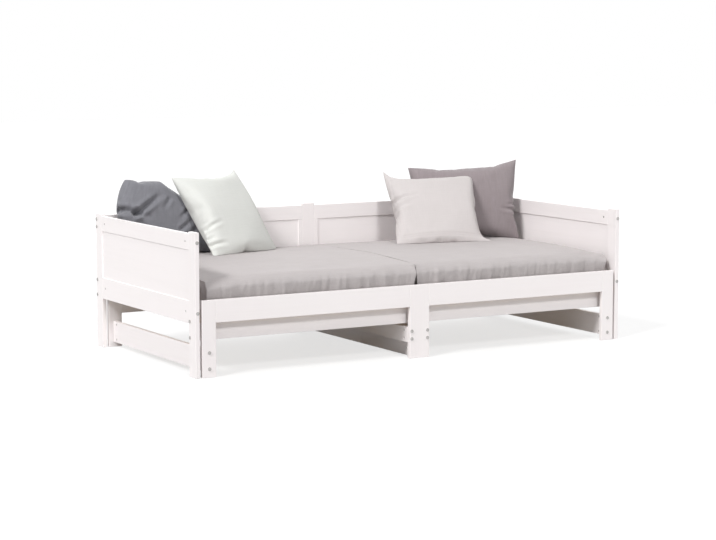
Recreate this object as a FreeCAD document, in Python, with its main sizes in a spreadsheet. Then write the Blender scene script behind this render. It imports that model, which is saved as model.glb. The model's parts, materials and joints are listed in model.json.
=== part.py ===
import FreeCAD, Part
import math
import os
import re

import Sketcher

# Pull-out daybed of painted pine boards, in millimetres.
# X runs along the bed, Y to the back, Z up. The origin is on the floor, under the middle.

Vector = FreeCAD.Vector
Rotation = FreeCAD.Rotation

SIZES = {
    # whole bed, pushed in
    "overall_length": 2050,
    "overall_depth": 973,
    "post_height": 572,
    # boards
    "board_thick": 18,
    "post_width": 60,
    "narrow_width": 64,
    "wide_width": 90,
    "edge_ease": 1.5,
    # ends and back
    "post_rise": 8,
    "lower_rail_height": 211,
    "panel_thick": 10,
    "groove_depth": 8,
    "stile_width": 20,
    # fixed beam at the front and its support
    "beam_setback": 42,
    "beam_height": 143,
    "support_width": 50,
    # slats
    "slat_width": 64,
    "slat_thick": 15,
    "slat_pitch": 160,
    "slat_glide": 0.15,
    "batten_depth": 18,
    "batten_height": 20,
    # pull-out frame
    "pullout_gap": 10,
    "running_gap": 2,
    "support_gap": 4,
    "leg_width": 60,
    "pullout_rail_height": 215,
    "stretcher_height": 21,
    "centre_stretcher_height": 66,
    # bolts with barrel nuts
    "bolt_diameter": 6,
    "bolt_reach": 40,
    "bore_clearance": 0.5,
    "head_diameter": 14,
    "head_thick": 2.5,
    "socket_width": 4,
    "socket_depth": 2,
    "nut_diameter": 10,
    "nut_length": 16,
    "nut_inset": 30,
    "nut_clearance": 0.2,
    "narrow_spread": 32,
    "wide_spread": 64,
    # dowels
    "dowel_diameter": 8,
    "dowel_length": 36,
    "dowel_clearance": 0.2,
    "narrow_dowel_spread": 36,
    "wide_dowel_spread": 56,
    "support_dowel_spread": 26,
    # slat screws
    "screw_diameter": 4,
    "screw_length": 30,
    "screw_head_diameter": 8,
    "screw_head_height": 2.4,
    "screw_clearance": 0.2,
    "pilot_spare": 1,
    # mattress halves
    "bedding_gap": 0.35,
    "mattress_front_gap": 6,
    "mattress_back_gap": 12,
    "mattress_end_gap": 24,
    "mattress_seam_gap": 1.2,
    "mattress_side_height": 128,
    "mattress_crown": 32,
    "mattress_bulge": 5,
    "mattress_corner": 42,
    "mattress_foot_corner": 20,
    "mattress_end_round": 34,
    # all pillows
    "pillow_seam": 8,
    "pillow_waist": 24,
}

# Each pillow as it leans: how far the middle of its lower edge lies from the end of the bed,
# its turn and lean in degrees, and how far its inner upper corner has slumped.
PILLOWS = {
    "left_rear_pillow": {
        "width": 465,
        "height": 345,
        "thick": 135,
        "from_end": 286,
        "turn": 2,
        "lean": 14,
        "slump": 205,
    },
    "left_front_pillow": {
        "width": 385,
        "height": 400,
        "thick": 140,
        "from_end": 548,
        "turn": 20,
        "lean": 36,
        "slump": 0,
    },
    "right_rear_pillow": {
        "width": 495,
        "height": 352,
        "thick": 150,
        "from_end": 275,
        "turn": -24,
        "lean": 10,
        "slump": 0,
    },
    "right_front_pillow": {
        "width": 440,
        "height": 388,
        "thick": 135,
        "from_end": 508,
        "turn": -14,
        "lean": 41,
        "slump": 0,
    },
}
for pillow_label, pillow_sizes in PILLOWS.items():
    SIZES.update({f"{pillow_label}_{name}": size for name, size in pillow_sizes.items()})

doc = FreeCAD.newDocument("pullout_daybed")
sheet = doc.addObject("Spreadsheet::Sheet", "Sizes")
for row, (alias, size) in enumerate(SIZES.items(), 1):
    sheet.set(f"A{row}", alias)
    sheet.set(f"B{row}", str(size))
    sheet.setAlias(f"B{row}", alias)
doc.recompute()


def bound(expression):
    """The expression with each size written as a cell of the sheet."""
    return re.sub(r"[a-z]+(?:_[a-z]+)+", lambda word: f"Sizes.{word.group(0)}", expression)


def value(expression):
    """The expression worked out now, from the cells of the sheet."""
    return float(sheet.evalExpression(bound(expression)))


def bind(thing, **expressions):
    for name, expression in expressions.items():
        thing.setExpression(name, bound(expression))


def bind_place(thing, place):
    """Bind the three coordinates of a Placement to expressions."""
    for axis, expression in zip("xyz", place):
        thing.setExpression(f"Placement.Base.{axis}", bound(expression))


# Places that many boards share.
FRONT = "(-overall_depth / 2)"
BACK_FACE = "(overall_depth / 2 - board_thick)"
END_X = "(overall_length / 2)"
INNER_X = "(overall_length / 2 - board_thick)"
TOP_RAIL_Z = "(post_height - post_rise - narrow_width)"
PANEL_Z = "(lower_rail_height + wide_width)"
BEAM_Y = f"({FRONT} + beam_setback)"
SEAT_Z = "(beam_height + wide_width)"
PULLOUT_SEAT_Z = f"({SEAT_Z} + slat_glide)"
LEG_OUT = "(overall_length / 2 - board_thick - pullout_gap)"
LEG_IN = f"({LEG_OUT} - leg_width)"
CENTRE_LEG_HALF = "(support_width / 2 + support_gap + board_thick)"
CENTRE_REAR_IN = "(support_width / 2 + running_gap)"
REAR_LEG_Y = "(overall_depth / 2 - post_width)"
FRONT_BATTEN_DEPTH = "(beam_setback - board_thick - running_gap)"

# Turns that lay a piece, modelled along Z, along another axis.
ALONG = {
    "+x": Rotation(Vector(0, 1, 0), 90),
    "-x": Rotation(Vector(0, 1, 0), -90),
    "+y": Rotation(Vector(1, 0, 0), -90),
    "-y": Rotation(Vector(1, 0, 0), 90),
    "+z": Rotation(),
}
AXES = "xyz"


class Board:
    """A board, as a box between two corners, with the bores and grooves that its joints need."""

    made = {}

    def __init__(self, label, size, corner):
        self.label = label
        self.size = size
        self.corner = corner
        self.bores = []
        self.grooves = []
        Board.made[label] = self

    def low(self, axis):
        return f"({self.corner[axis]})"

    def high(self, axis):
        return f"({self.corner[axis]} + {self.size[axis]})"

    def middle(self, axis):
        return f"({self.corner[axis]} + ({self.size[axis]}) / 2)"

    def bore(self, place, axis, diameter, length, row=None):
        """A round hole along +axis from a place of the bed; row holes lie a slat pitch apart."""
        self.bores.append((place, axis, diameter, length, row))

    def groove(self, corner, size):
        self.grooves.append((corner, size))


def pair(label, inner, outer, y, depth, z, height):
    """The same board on the left and on the right, between two distances from the middle."""
    width = f"({outer} - {inner})"
    prefix, _, rest = label.rpartition("*")
    Board(f"{prefix}left_{rest}", (width, depth, height), (f"(-{outer})", y, z))
    Board(f"{prefix}right_{rest}", (width, depth, height), (inner, y, z))


def centred(label, half_width, y, depth, z, height):
    Board(label, (f"({half_width} * 2)", depth, height), (f"(-{half_width})", y, z))


# Ends: two posts, two rails and a panel each.
END_RAIL_Y = f"({FRONT} + post_width)"
END_RAIL_LENGTH = "(overall_depth - 2 * post_width)"
PANEL_INSET = "((board_thick - panel_thick) / 2)"
PANEL_LOW = f"({PANEL_Z} - groove_depth)"
PANEL_HEIGHT = f"({TOP_RAIL_Z} - {PANEL_Z} + 2 * groove_depth)"

pair("*front_post", INNER_X, END_X, FRONT, "post_width", "0", "post_height")
pair("*rear_post", INNER_X, END_X, REAR_LEG_Y, "post_width", "0", "post_height")
pair("*end_top_rail", INNER_X, END_X, END_RAIL_Y, END_RAIL_LENGTH, TOP_RAIL_Z, "narrow_width")
pair(
    "*end_lower_rail",
    INNER_X,
    END_X,
    END_RAIL_Y,
    END_RAIL_LENGTH,
    "lower_rail_height",
    "wide_width",
)
pair(
    "*end_panel",
    f"({INNER_X} + {PANEL_INSET})",
    f"({END_X} - {PANEL_INSET})",
    f"({END_RAIL_Y} - groove_depth)",
    f"({END_RAIL_LENGTH} + 2 * groove_depth)",
    PANEL_LOW,
    PANEL_HEIGHT,
)

# Back: a centre post, and on each side two rails, a stile and a panel.
POST_HALF = "(post_width / 2)"
STILE_OUT = "(post_width / 2 + stile_width)"

centred("back_centre_post", POST_HALF, BACK_FACE, "board_thick", "0", "post_height")
pair("*back_top_rail", POST_HALF, INNER_X, BACK_FACE, "board_thick", TOP_RAIL_Z, "narrow_width")
pair(
    "*back_lower_rail",
    POST_HALF,
    INNER_X,
    BACK_FACE,
    "board_thick",
    "lower_rail_height",
    "wide_width",
)
pair(
    "*back_stile",
    POST_HALF,
    STILE_OUT,
    BACK_FACE,
    "board_thick",
    PANEL_Z,
    f"({TOP_RAIL_Z} - {PANEL_Z})",
)
pair(
    "*back_panel",
    f"({STILE_OUT} - groove_depth)",
    f"({INNER_X} + groove_depth)",
    f"({BACK_FACE} + {PANEL_INSET})",
    "panel_thick",
    PANEL_LOW,
    PANEL_HEIGHT,
)

# Fixed front beam, its leg, the foot rail under the bed and the batten that carries the slats' back ends.
FOOT_RAIL_Y = f"({BEAM_Y} + board_thick)"
SUPPORT_HALF = "(support_width / 2)"

centred("front_beam", INNER_X, BEAM_Y, "board_thick", "beam_height", "wide_width")
centred("front_beam_leg", SUPPORT_HALF, BEAM_Y, "board_thick", "0", "beam_height")
centred(
    "centre_foot_rail",
    "(board_thick / 2)",
    FOOT_RAIL_Y,
    f"({BACK_FACE} - {FOOT_RAIL_Y})",
    "0",
    "wide_width",
)
centred(
    "rear_slat_batten",
    INNER_X,
    f"({BACK_FACE} - batten_depth)",
    "batten_depth",
    f"({SEAT_Z} - batten_height)",
    "batten_height",
)

# Pull-out frame: legs and rails flush with the front posts, stretchers and a rear rail on legs.
LEG_MIDDLE = f"({LEG_OUT} - leg_width / 2)"
PULLOUT_TOP = "(pullout_rail_height + wide_width)"
STRETCHER_Y = f"({FRONT} + board_thick)"
STRETCHER_LENGTH = f"({REAR_LEG_Y} - {STRETCHER_Y})"
REAR_RAIL_TOP = f"({SEAT_Z} - slat_glide)"

pair("pullout_*leg", LEG_IN, LEG_OUT, FRONT, "board_thick", "0", PULLOUT_TOP)
centred("pullout_centre_leg", CENTRE_LEG_HALF, FRONT, "board_thick", "0", PULLOUT_TOP)
pair(
    "pullout_*front_rail",
    CENTRE_LEG_HALF,
    LEG_IN,
    FRONT,
    "board_thick",
    "pullout_rail_height",
    "wide_width",
)
centred(
    "pullout_slat_batten",
    LEG_OUT,
    STRETCHER_Y,
    FRONT_BATTEN_DEPTH,
    "pullout_rail_height",
    f"({PULLOUT_SEAT_Z} - pullout_rail_height)",
)
pair(
    "pullout_*stretcher",
    f"({LEG_MIDDLE} - board_thick / 2)",
    f"({LEG_MIDDLE} + board_thick / 2)",
    STRETCHER_Y,
    STRETCHER_LENGTH,
    "stretcher_height",
    "wide_width",
)
pair(
    "pullout_*centre_stretcher",
    f"({CENTRE_LEG_HALF} - board_thick)",
    CENTRE_LEG_HALF,
    STRETCHER_Y,
    STRETCHER_LENGTH,
    "centre_stretcher_height",
    "narrow_width",
)
pair("pullout_*rear_leg", LEG_IN, LEG_OUT, REAR_LEG_Y, "board_thick", "0", REAR_RAIL_TOP)
pair(
    "pullout_*centre_rear_leg",
    CENTRE_REAR_IN,
    f"({CENTRE_REAR_IN} + leg_width)",
    REAR_LEG_Y,
    "board_thick",
    "0",
    "beam_height",
)
centred(
    "pullout_rear_rail",
    LEG_IN,
    REAR_LEG_Y,
    "board_thick",
    "beam_height",
    f"({REAR_RAIL_TOP} - beam_height)",
)

# Grooves that hold the panels.
for side in ("left", "right"):
    frames = {
        f"{side}_end_panel": ("front_post", "rear_post", "end_top_rail", "end_lower_rail"),
        f"{side}_back_panel": ("rear_post", "back_stile", "back_top_rail", "back_lower_rail"),
    }
    for panel_label, holders in frames.items():
        panel_board = Board.made[panel_label]
        for holder in holders:
            Board.made[f"{side}_{holder}"].groove(panel_board.corner, panel_board.size)

# Fasteners: each group lists the places and directions of its copies.
groups = {}


def add_copy(group, place, turn):
    groups.setdefault(group, []).append((place, turn))


def at(place, axis, coordinate):
    """The place with one coordinate replaced."""
    changed = list(place)
    changed[axis] = coordinate
    return tuple(changed)


# A barrel nut is modelled along Z with its thread along X; this lays it along X with its thread along Y.
NUT_ACROSS = {0: ALONG["+y"], 1: Rotation(Vector(1, 1, 1), 120)}


def bolt_joint(post_label, rail_label, axis, sign, rises, bolts, nuts):
    """Bolts through a post into the end of a rail, each with a barrel nut across the rail."""
    post = Board.made[post_label]
    rail = Board.made[rail_label]
    across = 1 - axis
    bolt_bore = "(bolt_diameter + bore_clearance)"
    nut_bore = "(nut_diameter + nut_clearance)"
    depth = "(bolt_reach + bore_clearance)"
    for rise in rises:
        centre = at([rail.middle(k) for k in range(3)], 2, f"({rail.middle(2)} + {rise})")
        if sign > 0:
            direction = ALONG["+" + AXES[axis]]
            rail_start = rail.low(axis)
            nut_middle = f"({rail.low(axis)} + nut_inset)"
            head = post.low(axis)
        else:
            direction = ALONG["-" + AXES[axis]]
            rail_start = f"({rail.high(axis)} - {depth})"
            nut_middle = f"({rail.high(axis)} - nut_inset)"
            head = post.high(axis)
        nut_centre = at(centre, axis, nut_middle)
        post.bore(at(centre, axis, post.low(axis)), axis, bolt_bore, post.size[axis])
        rail.bore(at(centre, axis, rail_start), axis, bolt_bore, depth)
        rail.bore(at(nut_centre, across, rail.low(across)), across, nut_bore, rail.size[across])
        add_copy(bolts, at(centre, axis, head), direction)
        add_copy(nuts, nut_centre, NUT_ACROSS[axis])


def dowel_joint(first_label, second_label, axis, sign, spread, spread_axis, group):
    """Two dowels between a board and the end of the next one; sign says on which side that lies."""
    first = Board.made[first_label]
    second = Board.made[second_label]
    joint = first.high(axis) if sign > 0 else first.low(axis)
    half = "(dowel_length / 2)"
    for side in ("-", "+"):
        centre = [second.middle(k) for k in range(3)]
        centre[spread_axis] = f"({centre[spread_axis]} {side} {spread} / 2)"
        start = at(centre, axis, f"({joint} - {half})")
        for board, from_joint in ((first, sign < 0), (second, sign > 0)):
            bore_start = at(centre, axis, joint) if from_joint else start
            board.bore(bore_start, axis, "(dowel_diameter + dowel_clearance)", half)
        add_copy(group, start, ALONG["+" + AXES[axis]])


ONE_BOLT = ("0",)
NARROW_PAIR = ("(-narrow_spread / 2)", "(narrow_spread / 2)")
WIDE_PAIR = ("(-wide_spread / 2)", "(wide_spread / 2)")

END_RAILS = {"end_top_rail": "narrow_dowel_spread", "end_lower_rail": "wide_dowel_spread"}
END_POSTS = {"front_post": 1, "rear_post": -1}
FRAME_SHORT = ("short_bolts", "frame_barrel_nuts")
FRAME_LONG = ("long_bolts", "frame_barrel_nuts")
PULLOUT_SHORT = ("pullout_bolts", "pullout_barrel_nuts")

for side, outward in (("left", -1), ("right", 1)):
    for rail_name, spread in END_RAILS.items():
        rail_label = f"{side}_{rail_name}"
        for post_name, sign in END_POSTS.items():
            post_label = f"{side}_{post_name}"
            bolt_joint(post_label, rail_label, 1, sign, ONE_BOLT, *FRAME_LONG)
            dowel_joint(post_label, rail_label, 1, sign, spread, 2, "frame_dowels")
    rear_post = f"{side}_rear_post"
    top_rail = f"{side}_back_top_rail"
    lower_rail = f"{side}_back_lower_rail"
    bolt_joint(rear_post, top_rail, 0, -outward, NARROW_PAIR, *FRAME_SHORT)
    bolt_joint(rear_post, lower_rail, 0, -outward, WIDE_PAIR, *FRAME_SHORT)
    bolt_joint(f"{side}_front_post", "front_beam", 0, -outward, WIDE_PAIR, *FRAME_SHORT)
    dowel_joint("back_centre_post", top_rail, 0, outward, "narrow_dowel_spread", 2, "frame_dowels")
    dowel_joint("back_centre_post", lower_rail, 0, outward, "wide_dowel_spread", 2, "frame_dowels")

    front_leg = f"pullout_{side}_leg"
    rear_leg = f"pullout_{side}_rear_leg"
    centre_rear_leg = f"pullout_{side}_centre_rear_leg"
    front_rail = f"pullout_{side}_front_rail"
    stretcher = f"pullout_{side}_stretcher"
    centre_stretcher = f"pullout_{side}_centre_stretcher"
    bolt_joint(front_leg, stretcher, 1, 1, WIDE_PAIR, *PULLOUT_SHORT)
    bolt_joint(rear_leg, stretcher, 1, -1, WIDE_PAIR, *PULLOUT_SHORT)
    bolt_joint("pullout_centre_leg", centre_stretcher, 1, 1, NARROW_PAIR, *PULLOUT_SHORT)
    bolt_joint(centre_rear_leg, centre_stretcher, 1, -1, NARROW_PAIR, *PULLOUT_SHORT)
    dowel_joint("pullout_centre_leg", front_rail, 0, outward, "wide_dowel_spread", 2, "pullout_dowels")
    dowel_joint(front_leg, front_rail, 0, -outward, "wide_dowel_spread", 2, "pullout_dowels")
    dowel_joint(rear_leg, "pullout_rear_rail", 0, -outward, "wide_dowel_spread", 2, "pullout_dowels")
    dowel_joint("pullout_rear_rail", centre_rear_leg, 2, -1, "support_dowel_spread", 0, "pullout_dowels")
dowel_joint("front_beam", "front_beam_leg", 2, -1, "support_dowel_spread", 0, "frame_dowels")
bolt_joint("front_beam_leg", "centre_foot_rail", 1, 1, NARROW_PAIR, *FRAME_SHORT)
bolt_joint("back_centre_post", "centre_foot_rail", 1, -1, NARROW_PAIR, *FRAME_SHORT)

# Slats: as many as the length takes, with one of the fixed ones in the middle.
SLATS_EACH_SIDE = int(value(f"({INNER_X} - slat_width / 2) / slat_pitch"))
FIXED_SLATS = 2 * SLATS_EACH_SIDE + 1
PULLOUT_SLATS = 2 * SLATS_EACH_SIDE
PILOT_DEPTH = "(screw_length - slat_thick + pilot_spare)"
PILOT_BORE = "(screw_diameter + screw_clearance)"


def slat_x(index, count):
    return f"(slat_pitch * {index - (count - 1) / 2})"


def slat_row(count, front_label, rear_label, seat, screws):
    """Screws through both ends of each slat, and their pilot holes in the two boards below."""
    for label in (front_label, rear_label):
        board = Board.made[label]
        pilot_start = f"({board.high(2)} - {PILOT_DEPTH})"
        board.bore((slat_x(0, count), board.middle(1), pilot_start), 2, PILOT_BORE, PILOT_DEPTH, row=count)
        for index in range(count):
            place = (slat_x(index, count), board.middle(1), f"({seat} + slat_thick)")
            add_copy(screws, place, ALONG["+z"])


slat_row(FIXED_SLATS, "front_beam", "rear_slat_batten", SEAT_Z, "fixed_slat_screws")
slat_row(PULLOUT_SLATS, "pullout_slat_batten", "pullout_rear_rail", PULLOUT_SEAT_Z, "pullout_slat_screws")


def origin_feature(body, role):
    return [feature for feature in body.Origin.OriginFeatures if feature.Role == role][0]


def rectangle_sketch(body, width, depth):
    """A rectangle from the body's origin, on its XY plane."""
    sketch = body.newObject("Sketcher::SketchObject", f"{body.Name}_outline")
    sketch.AttachmentSupport = [(origin_feature(body, "XY_Plane"), "")]
    sketch.MapMode = "FlatFace"
    across = value(width)
    along = value(depth)
    corners = [Vector(0, 0), Vector(across, 0), Vector(across, along), Vector(0, along)]
    for index in range(4):
        sketch.addGeometry(Part.LineSegment(corners[index], corners[(index + 1) % 4]))
    for index in range(4):
        sketch.addConstraint(Sketcher.Constraint("Coincident", index, 2, (index + 1) % 4, 1))
        direction = "Horizontal" if index % 2 == 0 else "Vertical"
        sketch.addConstraint(Sketcher.Constraint(direction, index))
    sketch.addConstraint(Sketcher.Constraint("Coincident", 0, 1, -1, 1))
    width_row = sketch.addConstraint(Sketcher.Constraint("DistanceX", 0, 1, 0, 2, across))
    depth_row = sketch.addConstraint(Sketcher.Constraint("DistanceY", 1, 1, 1, 2, along))
    sketch.setExpression(f"Constraints[{width_row}]", bound(width))
    sketch.setExpression(f"Constraints[{depth_row}]", bound(depth))
    return sketch


def eased_block(label, size):
    """A body with a padded rectangle and rounded edges."""
    body = doc.addObject("PartDesign::Body", label)
    body.Label = label
    pad = body.newObject("PartDesign::Pad", f"{label}_pad")
    pad.Profile = rectangle_sketch(body, size[0], size[1])
    bind(pad, Length=size[2])
    ease = body.newObject("PartDesign::Fillet", f"{label}_ease")
    ease.Base = (pad, [""])
    ease.UseAllEdges = True
    bind(ease, Radius="edge_ease")
    return body


def make_board(board):
    body = eased_block(board.label, board.size)
    bind_place(body, board.corner)

    def local(place):
        return [f"({place[k]}) - ({board.corner[k]})" for k in range(3)]

    for number, (corner, size) in enumerate(board.grooves, 1):
        groove = body.newObject("PartDesign::SubtractiveBox", f"{board.label}_groove{number}")
        bind(groove, Length=size[0], Width=size[1], Height=size[2])
        bind_place(groove, local(corner))
    for number, (place, axis, diameter, length, row) in enumerate(board.bores, 1):
        bore = body.newObject("PartDesign::SubtractiveCylinder", f"{board.label}_bore{number}")
        bore.Placement = FreeCAD.Placement(Vector(), ALONG["+" + AXES[axis]])
        bind(bore, Radius=f"{diameter} / 2", Height=length)
        bind_place(bore, local(place))
        if row:
            doc.recompute()
            pattern = body.newObject("PartDesign::LinearPattern", f"{board.label}_row{number}")
            pattern.Originals = [bore]
            pattern.Direction = (origin_feature(body, "X_Axis"), [""])
            pattern.Occurrences = row
            bind(pattern, Length=f"slat_pitch * {row - 1}")
            body.Tip = pattern
    return body


def primitive(kind, label, place=("0", "0", "0"), turn=None, **sizes):
    """A Part primitive with bound sizes and place."""
    solid = doc.addObject(kind, label)
    if turn:
        solid.Placement = FreeCAD.Placement(Vector(), turn)
    bind(solid, **sizes)
    bind_place(solid, place)
    return solid


def fused(label, base, tool):
    union = doc.addObject("Part::Fuse", label)
    union.Base = base
    union.Tool = tool
    return union


def cut(label, base, tool):
    difference = doc.addObject("Part::Cut", label)
    difference.Base = base
    difference.Tool = tool
    return difference


def bolt_pattern(label, grip):
    """A flat-headed bolt along Z, with its head below the origin and a hexagon socket in it."""
    shank = primitive(
        "Part::Cylinder",
        f"{label}_shank",
        Radius="bolt_diameter / 2",
        Height=f"{grip} + bolt_reach",
    )
    head = primitive(
        "Part::Cylinder",
        f"{label}_head",
        place=("0", "0", "-head_thick"),
        Radius="head_diameter / 2",
        Height="head_thick",
    )
    socket = doc.addObject("Part::Prism", f"{label}_socket")
    socket.Polygon = 6
    bind(socket, Circumradius="socket_width / sqrt(3)", Height="socket_depth")
    bind_place(socket, ("0", "0", "-head_thick"))
    return cut(label, fused(f"{label}_blank", shank, head), socket)


def nut_pattern(label):
    """A barrel nut along Z with its thread along X."""
    barrel = primitive(
        "Part::Cylinder",
        f"{label}_barrel",
        place=("0", "0", "-nut_length / 2"),
        Radius="nut_diameter / 2",
        Height="nut_length",
    )
    thread = primitive(
        "Part::Cylinder",
        f"{label}_thread",
        place=("-nut_diameter", "0", "0"),
        turn=ALONG["+x"],
        Radius="(bolt_diameter + nut_clearance) / 2",
        Height="nut_diameter * 2",
    )
    return cut(label, barrel, thread)


def dowel_pattern(label):
    return primitive("Part::Cylinder", label, Radius="dowel_diameter / 2", Height="dowel_length")


def screw_pattern(label):
    """A countersunk screw that points down from its head's face."""
    shank = primitive(
        "Part::Cylinder",
        f"{label}_shank",
        place=("0", "0", "-screw_length"),
        Radius="screw_diameter / 2",
        Height="screw_length",
    )
    head = primitive(
        "Part::Cone",
        f"{label}_head",
        place=("0", "0", "-screw_head_height"),
        Radius1="screw_diameter / 2",
        Radius2="screw_head_diameter / 2",
        Height="screw_head_height",
    )
    return fused(label, shank, head)


def copies(label, pattern, places):
    """One node that groups separate copies of a pattern piece."""
    links = []
    for number, (place, turn) in enumerate(places, 1):
        link = doc.addObject("App::Link", f"{label}_{number}")
        link.LinkedObject = pattern
        link.LinkTransform = False
        link.Placement = FreeCAD.Placement(Vector(), turn)
        bind_place(link, place)
        links.append(link)
    group = doc.addObject("Part::Compound", label)
    group.Label = label
    group.Links = links
    return group


def slat_pattern(label, length, front_inset, rear_inset):
    """A slat from its front end, centred on X, with a countersunk hole near each end."""
    body = eased_block(label, ("slat_width", length, "slat_thick"))
    for number, y in enumerate((front_inset, f"({length} - {rear_inset})"), 1):
        hole = body.newObject("PartDesign::SubtractiveCylinder", f"{label}_hole{number}")
        bind(hole, Radius=f"{PILOT_BORE} / 2", Height="slat_thick")
        bind_place(hole, ("slat_width / 2", y, "0"))
        sink = body.newObject("PartDesign::SubtractiveCone", f"{label}_sink{number}")
        bind(
            sink,
            Radius1=f"{PILOT_BORE} / 2",
            Radius2="(screw_head_diameter + screw_clearance) / 2",
            Height="screw_head_height",
        )
        bind_place(sink, ("slat_width / 2", y, "slat_thick - screw_head_height"))
    return body


def slat_group(label, count, y, length, seat, front_label, rear_label):
    front_inset = f"({Board.made[front_label].middle(1)} - {y})"
    rear_inset = f"({y} + {length} - {Board.made[rear_label].middle(1)})"
    pattern = slat_pattern(f"{label}_pattern", length, front_inset, rear_inset)
    places = []
    for index in range(count):
        places.append(((f"{slat_x(index, count)} - slat_width / 2", y, seat), ALONG["+z"]))
    return copies(label, pattern, places)


# Soft pieces: their sizes are read from the sheet, and their sections are lines and arcs.
def arc(first, through, last):
    return Part.Arc(first, through, last).toShape()


def line(first, last):
    return Part.LineSegment(first, last).toShape()


DIAGONAL = math.sqrt(0.5)


def mattress_section(x, front, rear, low, high, crown, bulge, corner, foot_corner):
    """A closed section across the mattress: flat below, bulging sides, round corners, a crowned top."""

    def point(y, z):
        return Vector(x, y, z)

    def rounded(y, z, radius, toward_y, toward_z, upward_first):
        centre_y = y + toward_y * radius
        centre_z = z + toward_z * radius
        side = point(y, centre_z)
        flat = point(centre_y, z)
        middle = point(centre_y - toward_y * radius * DIAGONAL, centre_z - toward_z * radius * DIAGONAL)
        return (side, middle, flat) if upward_first else (flat, middle, side)

    front_foot = rounded(front, low, foot_corner, 1, 1, False)
    front_top = rounded(front, high, corner, 1, -1, True)
    rear_top = rounded(rear, high, corner, -1, -1, False)
    rear_foot = rounded(rear, low, foot_corner, -1, 1, True)
    side_z = (front_foot[2].z + front_top[0].z) / 2
    edges = [
        arc(*front_foot),
        arc(front_foot[2], point(front - bulge, side_z), front_top[0]),
        arc(*front_top),
        arc(front_top[2], point((front + rear) / 2, high + crown), rear_top[0]),
        arc(*rear_top),
        arc(rear_top[2], point(rear + bulge, side_z), rear_foot[0]),
        arc(*rear_foot),
        line(rear_foot[2], front_foot[0]),
    ]
    return Part.Wire(edges)


# Shares of a mattress half's end round at which it has a section, and shares of its length between.
END_SHARES = (0.0, 0.06, 0.25, 0.55, 1.0)
SPAN_SHARES = (0.12, 0.27, 0.5, 0.73, 0.88)
CROWN_POWER = 3
LEAST_CROWN = 0.02

MATTRESS_START = "(mattress_seam_gap / 2)"
MATTRESS_LENGTH = f"({INNER_X} - mattress_end_gap - {MATTRESS_START})"
MATTRESS_FRONT = f"({FRONT} + board_thick + mattress_front_gap + mattress_bulge)"
MATTRESS_REAR = f"({BACK_FACE} - mattress_back_gap - mattress_bulge)"
MATTRESS_LOW = f"({PULLOUT_SEAT_Z} + slat_thick + bedding_gap)"
MATTRESS_HIGH = f"({MATTRESS_LOW} + mattress_side_height)"


def mattress_shape_at(distance):
    """How far a section is drawn in and how high its crown is, at a distance along the half."""
    length = value(MATTRESS_LENGTH)
    end_round = value("mattress_end_round")
    from_end = min(distance, length - distance)
    depth = max(0.0, 1 - from_end / end_round)
    inset = end_round * (1 - math.sqrt(1 - depth * depth))
    crown_share = 1 - abs(2 * distance / length - 1) ** CROWN_POWER
    return inset, value("mattress_crown") * max(crown_share, LEAST_CROWN)


def mattress_top(x, y):
    """Height of the mattress's top at a place, from the arc of its section there."""
    inset, crown = mattress_shape_at(abs(x) - value(MATTRESS_START))
    half = (value(f"{MATTRESS_REAR} - {MATTRESS_FRONT}") - 2 * inset) / 2 - value("mattress_corner")
    radius = (half * half + crown * crown) / (2 * crown)
    off_middle = y - value(f"({MATTRESS_FRONT} + {MATTRESS_REAR}) / 2")
    fall = radius - math.sqrt(radius * radius - off_middle * off_middle)
    return value(MATTRESS_HIGH) - inset + crown - fall


def mattress(label, side):
    """One mattress half, a crowned block with rounded ends, on the left (-1) or right (1)."""
    length = value(MATTRESS_LENGTH)
    end_round = value("mattress_end_round")
    distances = [share * end_round for share in END_SHARES]
    distances += [share * length for share in SPAN_SHARES]
    distances += [length - share * end_round for share in reversed(END_SHARES)]
    sections = []
    for distance in distances:
        inset, crown = mattress_shape_at(distance)
        sections.append(
            mattress_section(
                value(MATTRESS_START) + distance,
                value(MATTRESS_FRONT) + inset,
                value(MATTRESS_REAR) - inset,
                value(MATTRESS_LOW),
                value(MATTRESS_HIGH) - inset,
                crown,
                value("mattress_bulge"),
                value("mattress_corner"),
                value("mattress_foot_corner"),
            )
        )
    half = doc.addObject("Part::Feature", label)
    half.Label = label
    shape = Part.makeLoft(sections, True, True)
    if side < 0:
        shape = shape.mirror(Vector(), Vector(1, 0, 0))
    half.Shape = shape
    half.Placement = FreeCAD.Placement()
    return half


PILLOW_STATIONS = (-1.0, -0.9, -0.66, -0.33, 0.0, 0.33, 0.66, 0.9, 1.0)
FULLNESS_POWER = 2.6
SLUMP_START = -0.15
SETTLINGS = 3
SETTLE_STEPS = 5
SETTLE_BACK = 12


def pillow_section(label, share):
    """A lens across the pillow at a share of its half width: two arcs that meet at the seams."""
    waist = value("pillow_waist") * (1 - share * share)
    slump = value(f"{label}_slump") * max(0.0, share - SLUMP_START) / (1 - SLUMP_START)
    seam = value("pillow_seam")
    fullness = math.sqrt(1 - abs(share) ** FULLNESS_POWER)
    half_thick = (seam + (value(f"{label}_thick") - seam) * fullness) / 2
    low = waist
    high = value(f"{label}_height") - waist - slump
    x = share * value(f"{label}_width") / 2
    bottom = Vector(x, 0, low)
    top = Vector(x, 0, high)
    middle = (low + high) / 2
    front = arc(bottom, Vector(x, -half_thick, middle), top)
    rear = arc(top, Vector(x, half_thick, middle), bottom)
    return Part.Wire([front, rear])


def board_block(label):
    """The plain block that a board is cut from."""
    board = Board.made[label]
    size = [value(extent) for extent in board.size]
    return Part.makeBox(*size, Vector(*[value(place) for place in board.corner]))


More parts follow.
